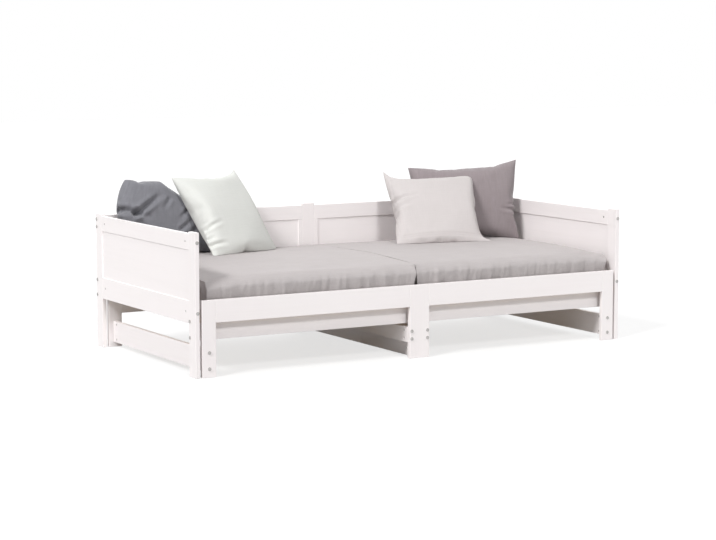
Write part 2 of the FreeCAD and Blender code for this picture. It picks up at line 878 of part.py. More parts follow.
def pillow(label, bed, support):
    """A knife-edged pillow that stands on a mattress half and leans on what lies behind it."""
    side = -1 if label.startswith("left") else 1
    gap = value("bedding_gap")
    x = side * value(f"{INNER_X} - {label}_from_end")
    y = value(MATTRESS_FRONT)
    turn = Rotation(Vector(0, 0, 1), value(f"{label}_turn"))
    lean = Rotation(Vector(1, 0, 0), -value(f"{label}_lean"))
    pose = turn.multiply(lean)
    half_edge = turn.multVec(Vector(value(f"{label}_width") / 2, 0, 0))
    solid = doc.addObject("Part::Feature", label)
    solid.Label = label
    solid.Shape = Part.makeLoft([pillow_section(label, share) for share in PILLOW_STATIONS], True)
    drop = 0
    for settling in range(SETTLINGS):
        y -= SETTLE_BACK
        for step in range(SETTLE_STEPS):
            corners = [(x + end * half_edge.x, y + end * half_edge.y) for end in (-1, 1)]
            seat = max(mattress_top(*corner) for corner in corners)
            solid.Placement = FreeCAD.Placement(Vector(x, y, seat + gap - drop), pose)
            y += solid.Shape.distToShape(support)[0] - gap
        drop += solid.Shape.distToShape(bed)[0] - gap
    return solid


nodes = [make_board(board) for board in Board.made.values()]
patterns = {
    "long_bolts": bolt_pattern("long_bolt_pattern", "post_width"),
    "short_bolts": bolt_pattern("short_bolt_pattern", "board_thick"),
    "frame_barrel_nuts": nut_pattern("barrel_nut_pattern"),
    "frame_dowels": dowel_pattern("dowel_pattern"),
    "fixed_slat_screws": screw_pattern("slat_screw_pattern"),
}
patterns["pullout_bolts"] = patterns["short_bolts"]
patterns["pullout_barrel_nuts"] = patterns["frame_barrel_nuts"]
patterns["pullout_dowels"] = patterns["frame_dowels"]
patterns["pullout_slat_screws"] = patterns["fixed_slat_screws"]
for group_label, places in groups.items():
    nodes.append(copies(group_label, patterns[group_label], places))
nodes.append(
    slat_group(
        "fixed_slats",
        FIXED_SLATS,
        BEAM_Y,
        f"({BACK_FACE} - {BEAM_Y})",
        SEAT_Z,
        "front_beam",
        "rear_slat_batten",
    )
)
nodes.append(
    slat_group(
        "pullout_slats",
        PULLOUT_SLATS,
        STRETCHER_Y,
        f"({STRETCHER_LENGTH} + board_thick)",
        PULLOUT_SEAT_Z,
        "pullout_slat_batten",
        "pullout_rear_rail",
    )
)
for side, sign in (("left", -1), ("right", 1)):
    bed = mattress(f"{side}_mattress", sign)
    back = board_block(f"{side}_back_top_rail")
    rear_pillow = pillow(f"{side}_rear_pillow", bed.Shape, back)
    behind = Part.makeCompound([rear_pillow.Shape, back])
    front_pillow = pillow(f"{side}_front_pillow", bed.Shape, behind)
    nodes += [bed, rear_pillow, front_pillow]

doc.recompute()
faults = [thing.Label for thing in doc.Objects if {"Invalid", "Error"} & set(thing.State)]
faults += [node.Label for node in nodes if node.Shape.isNull() or not node.Shape.isValid()]
if faults:
    raise SystemExit(f"not built: {', '.join(faults)}")

os.makedirs("parts", exist_ok=True)
for node in nodes:
    node.Shape.exportStep(f"parts/{node.Label}.step")
print(len(nodes), "nodes")
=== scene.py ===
import json
import math

import bmesh
import bpy
import numpy as np
from mathutils import Matrix, Vector, noise
from mathutils.bvhtree import BVHTree


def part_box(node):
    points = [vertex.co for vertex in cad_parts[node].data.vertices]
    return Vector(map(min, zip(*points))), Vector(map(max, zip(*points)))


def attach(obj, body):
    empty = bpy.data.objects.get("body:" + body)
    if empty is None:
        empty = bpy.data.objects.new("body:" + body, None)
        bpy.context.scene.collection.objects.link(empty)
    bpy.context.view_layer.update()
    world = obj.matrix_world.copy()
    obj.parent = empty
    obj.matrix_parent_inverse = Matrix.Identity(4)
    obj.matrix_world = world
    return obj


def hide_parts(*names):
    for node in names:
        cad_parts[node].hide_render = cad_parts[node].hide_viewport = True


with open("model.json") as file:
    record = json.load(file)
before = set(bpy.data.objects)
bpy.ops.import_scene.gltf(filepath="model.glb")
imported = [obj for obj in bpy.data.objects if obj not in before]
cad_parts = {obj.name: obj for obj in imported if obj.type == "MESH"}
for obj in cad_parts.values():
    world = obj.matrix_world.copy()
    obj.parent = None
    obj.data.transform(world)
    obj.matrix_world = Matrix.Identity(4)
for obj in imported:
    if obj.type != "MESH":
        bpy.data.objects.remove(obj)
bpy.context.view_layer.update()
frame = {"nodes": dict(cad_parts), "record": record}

# Looks of the pull-out daybed, in metres, in the frame of its solids: X along, Y to the back, Z up.

MM = 0.001
TINY = 1e-9
X, Y, Z = range(3)
AXIS_NAMES = "xyz"
nodes = frame["nodes"]
slots = {part["node"]: part["material_slot"] for part in frame["record"]["subparts"]}
scene = bpy.context.scene
for leftover in ("Cube", "Light", "Camera"):
    if leftover in bpy.data.objects:
        bpy.data.objects.remove(bpy.data.objects[leftover])


# Shader nodes

# The attribute that keeps each point's place on the cloth as it was cut
CLOTH_PLACE = "cloth_place"
# Radians that Blender's Wave texture turns through in a metre, at a scale of 1
WAVE_RATE = 20
# Sockets of a Mix node that mixes colours
MIX_FIRST, MIX_SECOND, MIX_RESULT = 6, 7, 2


class ShaderNodes:
    """A node tree under construction: nodes are added by kind, with values or links for their inputs."""

    def __init__(self, tree, on_cloth=False):
        self.tree = tree
        self.on_cloth = on_cloth

    def feed(self, socket, source):
        if isinstance(source, bpy.types.NodeSocket):
            self.tree.links.new(source, socket)
        else:
            socket.default_value = source

    def add(self, kind, inputs=None, **settings):
        node = self.tree.nodes.new(f"ShaderNode{kind}")
        for name, setting in settings.items():
            setattr(node, name, setting)
        for name, source in (inputs or {}).items():
            self.feed(node.inputs[name], source)
        return node

    def place(self, scale):
        """The place on the object, or on its cloth, in metres, stretched along each axis."""
        if self.on_cloth:
            where = self.add("Attribute", attribute_name=CLOTH_PLACE).outputs["Vector"]
        else:
            where = self.add("TexCoord").outputs["Object"]
        return self.add("Mapping", {"Vector": where, "Scale": scale}).outputs["Vector"]

    def noise(self, scale, detail, roughness=0.55, distortion=0.0):
        inputs = {
            "Vector": self.place(scale),
            "Scale": 1.0,
            "Detail": detail,
            "Roughness": roughness,
            "Distortion": distortion,
        }
        return self.add("TexNoise", inputs).outputs["Fac"]

    def bands(self, axis, period, distortion):
        """Soft stripes across an axis, one in each period."""
        inputs = {
            "Vector": self.place((1, 1, 1)),
            "Scale": 2 * math.pi / (WAVE_RATE * period),
            "Distortion": distortion,
        }
        return self.add("TexWave", inputs, bands_direction=axis).outputs["Fac"]

    def math(self, operation, first, second):
        node = self.add("Math", operation=operation)
        self.feed(node.inputs[0], first)
        self.feed(node.inputs[1], second)
        return node.outputs[0]

    def spread(self, source, to, within=(0.3, 0.7)):
        """The source, which mostly lies within two values, spread between two others."""
        inputs = {
            "Value": source,
            "From Min": within[0],
            "From Max": within[1],
            "To Min": to[0],
            "To Max": to[1],
        }
        return self.add("MapRange", inputs).outputs["Result"]

    def mix(self, share, first, second):
        node = self.add("Mix", data_type="RGBA")
        self.feed(node.inputs["Factor"], share)
        self.feed(node.inputs[MIX_FIRST], first)
        self.feed(node.inputs[MIX_SECOND], second)
        return node.outputs[MIX_RESULT]

    def bump(self, height, distance, strength, under=None):
        inputs = {"Height": height, "Distance": distance, "Strength": strength}
        if under:
            inputs["Normal"] = under
        return self.add("Bump", inputs).outputs["Normal"]


class Shader(ShaderNodes):
    """A material under construction."""

    def __init__(self, name, on_cloth=False):
        self.material = bpy.data.materials.new(name)
        self.material.use_nodes = True
        super().__init__(self.material.node_tree, on_cloth)
        self.surface = self.tree.nodes["Principled BSDF"]

    def finish(self, **inputs):
        for name, source in inputs.items():
            self.feed(self.surface.inputs[name.replace("_", " ")], source)
        return self.material


def colour(red, green, blue):
    """A colour given as it shows on a screen, from 0 to 255."""
    shares = [channel / 255 for channel in (red, green, blue)]
    linear = [s / 12.92 if s <= 0.04045 else ((s + 0.055) / 1.055) ** 2.4 for s in shares]
    return (*linear, 1.0)


def along(axis, lengthwise, across):
    """A scale that draws a pattern out along one axis."""
    return tuple(lengthwise if k == axis else across for k in range(3))


def set_material(piece, material):
    piece.data.materials.clear()
    piece.data.materials.append(material)


# Wood and metal

PAINT = colour(246, 240, 240)
PAINT_SHADE = colour(239, 233, 232)
PAINT_POOL = colour(247, 243, 242)
PINE_EARLY = colour(226, 199, 156)
PINE_LATE = colour(192, 152, 104)
PINE_RINGS = 60
BEECH_EARLY = colour(214, 178, 134)
BEECH_LATE = colour(188, 146, 102)
BEECH_RINGS = 140
ZINC_LIGHT = colour(206, 204, 202)
ZINC_DARK = colour(168, 165, 163)


def painted_pine(axis):
    """White satin paint over pine: the grain shows faintly, as streaks and as relief."""
    shader = Shader(f"white_painted_pine_{AXIS_NAMES[axis]}")
    rings = shader.noise(along(axis, 1.6, 42), detail=6, roughness=0.6, distortion=1.1)
    pores = shader.noise(along(axis, 24, 900), detail=2, roughness=0.5)
    patches = shader.noise((3, 3, 3), detail=3)
    tint = shader.mix(shader.spread(rings, to=(0.0, 0.45), within=(0.45, 0.75)), PAINT, PAINT_SHADE)
    tint = shader.mix(shader.spread(patches, to=(0.0, 0.5)), tint, PAINT_POOL)
    relief = shader.bump(rings, distance=0.3 * MM, strength=0.25)
    relief = shader.bump(pores, distance=0.12 * MM, strength=0.3, under=relief)
    polish = shader.math("ADD", patches, shader.math("MULTIPLY", pores, 0.3))
    gloss = shader.spread(polish, to=(0.36, 0.52), within=(0.4, 0.9))
    return shader.finish(Base_Color=tint, Roughness=gloss, Normal=relief)


def bare_wood(name, axis, early, late, ring_scale):
    """Planed softwood or dowel stock, with growth rings and fine pores."""
    shader = Shader(f"{name}_{AXIS_NAMES[axis]}")
    rings = shader.noise(along(axis, 1.2, ring_scale), detail=5, roughness=0.6, distortion=1.6)
    pores = shader.noise(along(axis, 30, 1100), detail=2)
    patches = shader.noise((5, 5, 5), detail=3)
    tint = shader.mix(shader.spread(rings, to=(0.0, 0.9), within=(0.4, 0.66)), early, late)
    tint = shader.mix(shader.spread(patches, to=(0.0, 0.35)), tint, late)
    relief = shader.bump(rings, distance=0.4 * MM, strength=0.4)
    relief = shader.bump(pores, distance=0.15 * MM, strength=0.4, under=relief)
    gloss = shader.spread(pores, to=(0.5, 0.72))
    return shader.finish(Base_Color=tint, Roughness=gloss, Normal=relief)


def zinc_steel():
    """Zinc-plated steel: bright, faintly mottled, with fine turning marks."""
    shader = Shader("zinc_plated_steel")
    mottle = shader.noise((180, 180, 180), detail=4)
    marks = shader.noise((900, 900, 900), detail=2)
    return shader.finish(
        Base_Color=shader.mix(shader.spread(mottle, to=(0, 1)), ZINC_LIGHT, ZINC_DARK),
        Metallic=1.0,
        Roughness=shader.spread(mottle, to=(0.28, 0.46)),
        Normal=shader.bump(marks, distance=0.05 * MM, strength=0.4),
    )


painted = [painted_pine(axis) for axis in (X, Y, Z)]
slat_wood = bare_wood("bare_pine", Y, PINE_EARLY, PINE_LATE, PINE_RINGS)
batten_wood = bare_wood("bare_pine", X, PINE_EARLY, PINE_LATE, PINE_RINGS)
dowel_wood = bare_wood("beech_dowel", X, BEECH_EARLY, BEECH_LATE, BEECH_RINGS)
SLOT_FINISHES = {"zinc_plated_steel": zinc_steel(), "beech_dowel": dowel_wood}
SLATS = ("fixed_slats", "pullout_slats")


def longest_axis(node):
    low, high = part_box(node)
    size = high - low
    return max(range(3), key=lambda axis: size[axis])


def finish_of(node):
    """The wood or metal of a node, and none for a soft one, which its cover stands for."""
    slot = slots[node]
    if slot == "white_painted_pine":
        return painted[longest_axis(node)]
    if slot == "bare_pine":
        return slat_wood if node in SLATS else batten_wood
    return SLOT_FINISHES.get(slot)


for node, piece in nodes.items():
    finish = finish_of(node)
    if finish:
        set_material(piece, finish)


# Fabrics

WEAVE_WOBBLE = 0.6
SLUBS_WITHIN = (0.8, 1.3)
FABRIC_ROUGHNESS = (0.77, 0.93)


def fabric(name, light, dark, thread, slub, nap=0.0, sheen=0.0, sewn=True):
    """A woven cover: threads both ways, thicker threads here and there, and slow changes of tone.

    The weave of a sewn cover follows its cloth, and that of another runs along the object's axes.
    """
    shader = Shader(name, on_cloth=sewn)
    warp = shader.bands("X", thread, WEAVE_WOBBLE)
    weft = shader.bands("Z", thread, WEAVE_WOBBLE)
    if not sewn:
        warp = shader.math("ADD", warp, shader.bands("Y", thread, WEAVE_WOBBLE))
    weave = shader.math("MULTIPLY", warp, weft)
    slub_across = shader.noise((14, 420, 420), detail=2)
    slub_up = shader.noise((420, 420, 14), detail=2)
    slubs = shader.math("ADD", slub_across, slub_up)
    patches = shader.noise((9, 9, 9), detail=4)
    tint = shader.mix(shader.spread(slubs, to=(0.0, slub), within=SLUBS_WITHIN), light, dark)
    tint = shader.mix(shader.spread(patches, to=(0.0, 0.35)), tint, dark)
    if nap:
        brushed = shader.noise((60, 60, 16), detail=3, roughness=0.6, distortion=0.8)
        tint = shader.mix(shader.spread(brushed, to=(0.0, nap)), tint, dark)
    relief = shader.bump(weave, distance=0.25 * MM, strength=0.35)
    relief = shader.bump(slubs, distance=0.35 * MM, strength=0.5, under=relief)
    return shader.finish(
        Base_Color=tint,
        Roughness=shader.spread(slubs, to=FABRIC_ROUGHNESS, within=SLUBS_WITHIN),
        Sheen_Weight=sheen,
        Sheen_Roughness=0.5,
        Normal=relief,
    )


COVERS = {
    "grey_linen_cover": fabric(
        "grey_linen",
        light=colour(189, 183, 183),
        dark=colour(175, 169, 168),
        thread=2.2 * MM,
        slub=0.6,
        sewn=False,
    ),
    "dark_grey_cover": fabric(
        "dark_grey_velvet",
        light=colour(128, 128, 134),
        dark=colour(100, 100, 106),
        thread=1.2 * MM,
        slub=0.12,
        nap=0.45,
        sheen=0.3,
    ),
    "silver_green_cover": fabric(
        "silver_green_cotton",
        light=colour(222, 223, 219),
        dark=colour(211, 212, 207),
        thread=1.6 * MM,
        slub=0.4,
    ),
    "taupe_cover": fabric(
        "taupe_velvet",
        light=colour(149, 139, 141),
        dark=colour(129, 119, 121),
        thread=1.2 * MM,
        slub=0.12,
        nap=0.4,
        sheen=0.25,
    ),
    "off_white_cover": fabric(
        "off_white_cotton",
        light=colour(204, 198, 197),
        dark=colour(193, 187, 186),
        thread=1.6 * MM,
        slub=0.4,
    ),
}


# Meshes and cloth

CLOTH_QUALITY = 6
CLOTH_MASS = 0.3
CLOTH_AIR_DAMPING = 4


def points_of(mesh):
    flat = np.empty(len(mesh.vertices) * 3, np.float32)
    mesh.vertices.foreach_get("co", flat)
    return flat.reshape(-1, 3).astype(float)


def set_points(mesh, points):
    mesh.vertices.foreach_set("co", points.astype(np.float32).ravel())
    mesh.update()


def normals_of(mesh):
    flat = np.empty(len(mesh.vertices) * 3, np.float32)
    mesh.vertices.foreach_get("normal", flat)
    return flat.reshape(-1, 3).astype(float)


def new_piece(name, mesh):
    piece = bpy.data.objects.new(name, mesh)
    scene.collection.objects.link(piece)
    return piece


def bake_modifiers(piece):
    """Replace a piece's mesh by what its modifiers make of it."""
    shown = piece.evaluated_get(bpy.context.evaluated_depsgraph_get())
    shaped = bpy.data.meshes.new_from_object(shown)
    piece.modifiers.clear()
    piece.data = shaped


def remesh(piece, voxel):
    modifier = piece.modifiers.new("Remesh", "REMESH")
    modifier.mode = "VOXEL"
    modifier.voxel_size = voxel
    bake_modifiers(piece)


def subdivide(piece):
    modifier = piece.modifiers.new("Subdivision", "SUBSURF")
    modifier.levels = 1
    modifier.render_levels = 1
    bake_modifiers(piece)


def even_out(piece, times):
    """Smooth a piece's small unevenness, more the more times."""
    modifier = piece.modifiers.new("Smooth", "SMOOTH")
    modifier.factor = 0.5
    modifier.iterations = times
    bake_modifiers(piece)


def run_cloth(piece, pressure, steps, stiffness, bending, pins=None):
    """Let the piece's cover settle under the pressure of its filling."""
    cloth = piece.modifiers.new("Cloth", "CLOTH")
    settings = cloth.settings
    settings.quality = CLOTH_QUALITY
    settings.mass = CLOTH_MASS
    settings.tension_stiffness = stiffness
    settings.compression_stiffness = stiffness
    settings.shear_stiffness = stiffness / 3
    settings.bending_stiffness = bending
    settings.air_damping = CLOTH_AIR_DAMPING
    settings.use_pressure = True
    settings.uniform_pressure_force = pressure
    settings.effector_weights.gravity = 0
    if pins is not None:
        group = piece.vertex_groups.new(name="pins")
        group.add(pins, 1.0, "REPLACE")
        settings.vertex_group_mass = "pins"
    cloth.collision_settings.use_collision = False
    cloth.point_cache.frame_start = 1
    cloth.point_cache.frame_end = steps
    for step in range(1, steps + 1):
        scene.frame_set(step)
    bake_modifiers(piece)
    scene.frame_set(1)
    piece.vertex_groups.clear()


def surface_tree(piece):
    """A search tree over the surface of a piece, in the frame's own place."""
    corners = [piece.matrix_world @ vertex.co for vertex in piece.data.vertices]
    faces = [list(polygon.vertices) for polygon in piece.data.polygons]
    return BVHTree.FromPolygons(corners, faces)


def dress(piece, node, body):
    """Give a soft piece its cover and let it stand for its solid."""
    slot = slots[node]
    set_material(piece, COVERS[slot])
    for polygon in piece.data.polygons:
        polygon.use_smooth = True
    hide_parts(node)
    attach(piece, body)


# Mattress halves

MATTRESS_VOXEL = 9 * MM
MATTRESS_SLACK = 5 * MM
MATTRESS_CAP = 7 * MM
MATTRESS_PIN_HEIGHT = 30 * MM
# Rounding of the block that each half starts as, and how far it reaches past the seam and the end
# before it is pressed back to them, which leaves those two edges crisper than the rest
MATTRESS_UPRIGHT_ROUND = 6 * MM
MATTRESS_TOP_ROUND = 52 * MM
MATTRESS_FOOT_ROUND = 20 * MM
ROUND_SEGMENTS = 5
SHARP_EDGE = math.radians(60)
MATTRESS_SEAM_CUT = 40 * MM
MATTRESS_END_CUT = 24 * MM
MATTRESS_END_INSET = {"left_mattress": 15 * MM, "right_mattress": 1 * MM}
# The top rises to its middle, less so towards the seam, and falls off at the outer front corner
MATTRESS_CROWN = 18 * MM
MATTRESS_CROWN_START = 0.45
CROWN_ALONG_POWER = 3
CROWN_ACROSS_POWER = 2
MATTRESS_SEAM_DIP = 0.4
MATTRESS_CORNER_DIP = 20 * MM
CORNER_END_POWER = 6
CORNER_FRONT_POWER = 2.5
# The sides bulge high up and draw in lower down, at shares of their height
MATTRESS_BULGE = {"front": 9 * MM, "rear": 3 * MM, "end": 2 * MM, "seam": 8 * MM}
MATTRESS_BULGE_HEIGHT = 0.8
MATTRESS_BULGE_SPAN = 0.3
BULGE_POWER = 2
MATTRESS_TUCK = {"front": 5 * MM, "rear": 3 * MM, "end": 3 * MM, "seam": 5 * MM}
MATTRESS_TUCK_HEIGHT = 0.35
MATTRESS_TUCK_SPAN = 0.38
TUCK_POWER = 4
SIDE_NEARNESS_POWER = 12
# Unevenness of the cover: its size along each axis, its depth and a seed
SIDE_GATHERS = (
    (np.array((15, 15, 110)) * MM, 3 * MM, 3),
    (np.array((42, 42, 160)) * MM, 5 * MM, 5),
)
SWELL = (np.array((190, 230, 200)) * MM, 2.4 * MM, 7)
# A normal that points further down than this belongs to the underside
UNDERSIDE = -0.5


def uneven(point, size, depth, seed):
    return depth * noise.noise(Vector(point / size + seed * np.arange(1, 4)))


def soft_block(name, low, high):
    """A closed block with rounded edges: the most along its top, the least down its corners."""
    block = bmesh.new()
    bmesh.ops.create_cube(block, size=1.0)
    for vertex in block.verts:
        vertex.co = [(low[k] + high[k]) / 2 + vertex.co[k] * (high[k] - low[k]) for k in range(3)]
    middle = (low[Z] + high[Z]) / 2

    def heights(edge):
        return [vertex.co.z for vertex in edge.verts]

    def upright(edge):
        return min(heights(edge)) < middle < max(heights(edge))

    def level(edge, z):
        return all(abs(height - z) < MM for height in heights(edge))

    rounds = (
        (MATTRESS_UPRIGHT_ROUND, upright),
        (MATTRESS_TOP_ROUND, lambda edge: level(edge, high[Z])),
        (MATTRESS_FOOT_ROUND, lambda edge: level(edge, low[Z])),
    )
    for radius, chosen in rounds:
        edges = [edge for edge in block.edges if chosen(edge) and len(edge.link_faces) == 2]
        edges = [edge for edge in edges if edge.calc_face_angle() > SHARP_EDGE] or edges
        bmesh.ops.bevel(
            block, geom=edges, offset=radius, segments=ROUND_SEGMENTS, profile=0.5, affect="EDGES"
        )
    mesh = bpy.data.meshes.new(name)
    block.to_mesh(mesh)
    block.free()
    return mesh


def short_of(points, plane, way):
    """Press points back to a plane across X, where they lie past it."""
    points[:, X] = way * np.minimum(way * points[:, X], way * plane)


def mattress_block(name, low, high, to_seam):
    """The block that a half starts as, which reaches past its seam and its end."""
    block_low = low.copy()
    block_high = high.copy()
    seam_side, end_side = (block_high, block_low) if to_seam > 0 else (block_low, block_high)
    seam_side[X] += to_seam * MATTRESS_SEAM_CUT
    end_side[X] -= to_seam * MATTRESS_END_CUT
    piece = new_piece(name, soft_block(name, block_low, block_high))
    remesh(piece, MATTRESS_VOXEL)
    return piece


def fill_mattress(piece, floor):
    """Swell the cover by simulation, with its foot held, and cap how far it may move."""
    slim = points_of(piece.data)
    pins = [int(k) for k in np.flatnonzero(slim[:, Z] < floor + MATTRESS_PIN_HEIGHT)]
    run_cloth(piece, pressure=3, steps=12, stiffness=12, bending=0.6, pins=pins)
    moved = points_of(piece.data) - slim
    reach = np.linalg.norm(moved, axis=1)
    moved *= np.minimum(1, MATTRESS_CAP / np.maximum(reach, TINY))[:, None]
    set_points(piece.data, slim + moved)


def mattress_crown(offset, to_seam):
    """How far the top rises, by the offset from the middle along each axis, as a share of the half."""
    along_seam = to_seam * offset[:, X]
    along_share = np.where(along_seam > 0, along_seam * MATTRESS_SEAM_DIP, -along_seam)
    along_share = np.clip(along_share, 0, 1)
    across_share = np.clip(np.abs(offset[:, Y]), 0, 1)
    rise = (1 - along_share**CROWN_ALONG_POWER) * (1 - across_share**CROWN_ACROSS_POWER)
    end_share = np.clip(-along_seam, 0, 1)
    front_share = np.clip(-offset[:, Y], 0, 1)
    fall = end_share**CORNER_END_POWER * front_share**CORNER_FRONT_POWER
    return MATTRESS_CROWN * rise - MATTRESS_CORNER_DIP * fall


def gathered(points, outward):
    """Draw the cover into gathers down its sides, and let it swell a little all over but below."""
    for k, (point, normal) in enumerate(zip(points, outward)):
        gather = sum(uneven(point, *row) for row in SIDE_GATHERS)
        swell = uneven(point, *SWELL) if normal[Z] > UNDERSIDE else 0
        points[k] = point + normal * ((1 - abs(normal[Z])) * gather + swell)


def mattress_piece(node, body):
    low, high = (np.array(corner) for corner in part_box(node))
    middle = (low + high) / 2
    half = (high - low) / 2
    to_seam = 1 if middle[X] < 0 else -1
    seam = middle[X] + to_seam * half[X]
    end = middle[X] - to_seam * (half[X] - MATTRESS_END_INSET[node])
    high[Z] -= MATTRESS_CROWN
    piece = mattress_block(f"{node}_cover", low, high, to_seam)
    slim = points_of(piece.data) - normals_of(piece.data) * MATTRESS_SLACK
    slim[:, Z] = np.maximum(slim[:, Z], low[Z])
    short_of(slim, seam - to_seam * MATTRESS_SLACK, to_seam)
    short_of(slim, end + to_seam * MATTRESS_SLACK, -to_seam)
    set_points(piece.data, slim)
    fill_mattress(piece, low[Z])
    subdivide(piece)
    points = points_of(piece.data)
    offset = (points - middle) / half
    height = np.clip((points[:, Z] - low[Z]) / (high[Z] - low[Z]), 0, 1)
    lift = np.clip((height - MATTRESS_CROWN_START) / (1 - MATTRESS_CROWN_START), 0, 1)
    points[:, Z] += mattress_crown(offset, to_seam) * lift
    swelling = np.exp(-(((height - MATTRESS_BULGE_HEIGHT) / MATTRESS_BULGE_SPAN) ** BULGE_POWER))
    tucking = np.exp(-(((height - MATTRESS_TUCK_HEIGHT) / MATTRESS_TUCK_SPAN) ** TUCK_POWER))
    sides = {"front": (Y, -1), "rear": (Y, 1), "end": (X, -to_seam), "seam": (X, to_seam)}
    for name, (axis, sign) in sides.items():
        nearness = np.clip(sign * offset[:, axis], 0, 1) ** SIDE_NEARNESS_POWER
        outward = MATTRESS_BULGE[name] * swelling - MATTRESS_TUCK[name] * tucking
        points[:, axis] += sign * nearness * outward
    set_points(piece.data, points)
    gathered(points, normals_of(piece.data))
    points[:, Z] = np.maximum(points[:, Z], low[Z])
    short_of(points, seam, to_seam)
    set_points(piece.data, points)
    dress(piece, node, body)
    return piece


mattresses = {
    "left": mattress_piece("left_mattress", "left_mattress_half"),
    "right": mattress_piece("right_mattress", "right_mattress_half"),
}


# Pillows

PILLOW_SINK = 5 * MM
PILLOW_GAP = 1 * MM
PILLOW_REACH = 40 * MM
SHEET_MESH = 6.5 * MM
SHEET_START = 20 * MM
SEAM_ALLOWANCE = 1.06
CRISP_BENDING = 0.9
EAR_POWER = 14
SLUMP_START = -0.15
STITCH_DEPTH = 1.6 * MM
STITCH_WIDTH = 3.0 * MM
# Along a fold, as shares of its length: it starts before its first place and fades out past its last
FOLD_LEAD, FOLD_LEAD_SPAN = 0.25, 0.3
FOLD_TAIL, FOLD_TAIL_SPAN = 1.2, 0.9
# Across a fold, in its widths: a low ridge on each side
FOLD_RIDGE_PLACE = 1.9
FOLD_RIDGE_SHARE = 0.45
# How far round from the front face the folds reach
FOLD_FACING = 0.6
FOLD_FACING_RATE = 2

# Each pillow, in millimetres from the middle of its own upright face. Its corners come in the order
# lower left, lower right, upper right, upper left, and its edges in the order lower, right, upper, left.
# turn and lean: degrees, as its solid has them
# slump: how far its inner upper corner has sunk
# limpness and flatness: how limp its cloth is and how flat its foot, from 0 to 1
# evening: how often its small puckers are evened out
# corners and ears: broad shifts of its corners, and shifts of their tips alone
# bows: how far its edges bow outward
# folds: lines from a place to a place, with a depth and a width
# stitches: distances of its stitch lines from the rim
PILLOWS = {
    "left_rear_pillow": {
        "body": "left_rear_cushion",
        "turn": 2,
        "lean": 14,
        "slump": 205,
        "limpness": 0.7,
        "evening": 3,
        "flatness": 0,
        "corners": ((0, 0), (0, 0), (0, 0), (44, 4)),
        "ears": ((0, 0), (0, 0), (0, 0), (0, -4)),
        "bows": (0, 0, 12, 64),
        "folds": (
            (-250, 46, -132, 2, 16, 12),
            (-196, 26, -150, 6, 12, 11),
            (-184, 14, -66, 86, 19, 11),
            (-20, 72, -50, 33, 6, 9),
            (18, -60, 72, -28, 7, 8),
            (48, -92, 100, -58, 7, 9),
            (60, 20, 20, -16, 6, 9),
        ),
        "stitches": (),
    },
    "left_front_pillow": {
        "body": "left_front_cushion",
        "turn": 20,
        "lean": 36,
        "slump": 0,
        "limpness": 0.2,
        "evening": 12,
        "flatness": 0.35,
        "corners": ((0, -8), (12, 2), (-2, -6), (-10, -2)),
        "ears": ((0, 0), (0, 0), (4, 22), (-2, 2)),
        "bows": (28, 2, -4, -2),
        "folds": (
            (-216, -60, -196, -62, 9, 8),
            (-212, -82, -112, -66, 9, 8),
            (-220, -118, -168, -122, 12, 7),
            (-214, -152, -118, -158, 10, 8),
        ),
        "stitches": (),
    },
    "right_rear_pillow": {
        "body": "right_rear_cushion",
        "turn": -24,
        "lean": 10,
        "slump": 0,
        "limpness": 0.2,
        "evening": 10,
        "flatness": 0,
        "corners": ((0, 0), (14, 4), (6, 20), (0, -8)),
        "ears": ((0, 0), (0, 0), (6, 8), (-4, 2)),
        "bows": (0, 6, 6, 0),
        "folds": (
            (240, -36, 176, -28, 7, 8),
            (236, -8, 190, -14, 4, 7),
        ),
        "stitches": (),
    },
    "right_front_pillow": {
        "body": "right_front_cushion",
        "turn": -14,
        "lean": 41,
        "slump": 0,
        "limpness": 0.2,
        "evening": 12,
        "flatness": 0.35,
        "corners": ((-2, -10), (-56, -8), (-6, -14), (10, -28)),
        "ears": ((0, 0), (80, 6), (-10, -18), (2, 46)),
        "bows": (30, 22, -2, 8),
        "folds": (
            (-212, 22, -170, 26, 10, 11),
            (-184, 20, -100, 34, 5, 8),
            (-196, -26, -130, -8, 5, 9),
            (30, 176, 24, 140, 6, 7),
        ),
        "stitches": (16, 24),
    },
}


def pillow_sheets(width, height):
    """Two flat sheets sewn round the rim, barely apart, as points and faces."""
    columns = round(width / SHEET_MESH)
    rows = round(height / SHEET_MESH)
    points = []
    index = {}
    for side in (-1, 1):
        for i in range(columns + 1):
            for j in range(rows + 1):
                on_rim = i in (0, columns) or j in (0, rows)
                if on_rim and side > 0:
                    index[side, i, j] = index[-1, i, j]
                    continue
                u = 2 * i / columns - 1
                w = 2 * j / rows - 1
                apart = side * SHEET_START / 2 * (1 - u * u) * (1 - w * w)
                index[side, i, j] = len(points)
                points.append((u * width / 2, apart, w * height / 2))
    faces = []
    for side in (-1, 1):
        for i in range(columns):
            for j in range(rows):
                corners = ((i, j), (i + 1, j), (i + 1, j + 1), (i, j + 1))
                loop = [index[(side, *corner)] for corner in corners]
                faces.append(loop if side < 0 else loop[::-1])
    return points, faces


def filled_pillow(name, size, limpness, evening):
    """A pillow filled by simulation from two sheets, brought to a size about its middle."""
    mesh = bpy.data.meshes.new(name)
    sheet, faces = pillow_sheets(size[X] * SEAM_ALLOWANCE, size[Z] * SEAM_ALLOWANCE)
    mesh.from_pydata(sheet, [], faces)
    place = mesh.attributes.new(CLOTH_PLACE, "FLOAT_VECTOR", "POINT")
    place.data.foreach_set("vector", np.array(sheet, np.float32).ravel())
    piece = new_piece(name, mesh)
    bending = CRISP_BENDING * (1 - limpness)
    run_cloth(piece, pressure=6, steps=18, stiffness=18, bending=bending)
    even_out(piece, evening)
    subdivide(piece)
    points = points_of(piece.data)
    low = points.min(0)
    high = points.max(0)
    set_points(piece.data, (points - (high + low) / 2) * (size / (high - low)))
    return piece


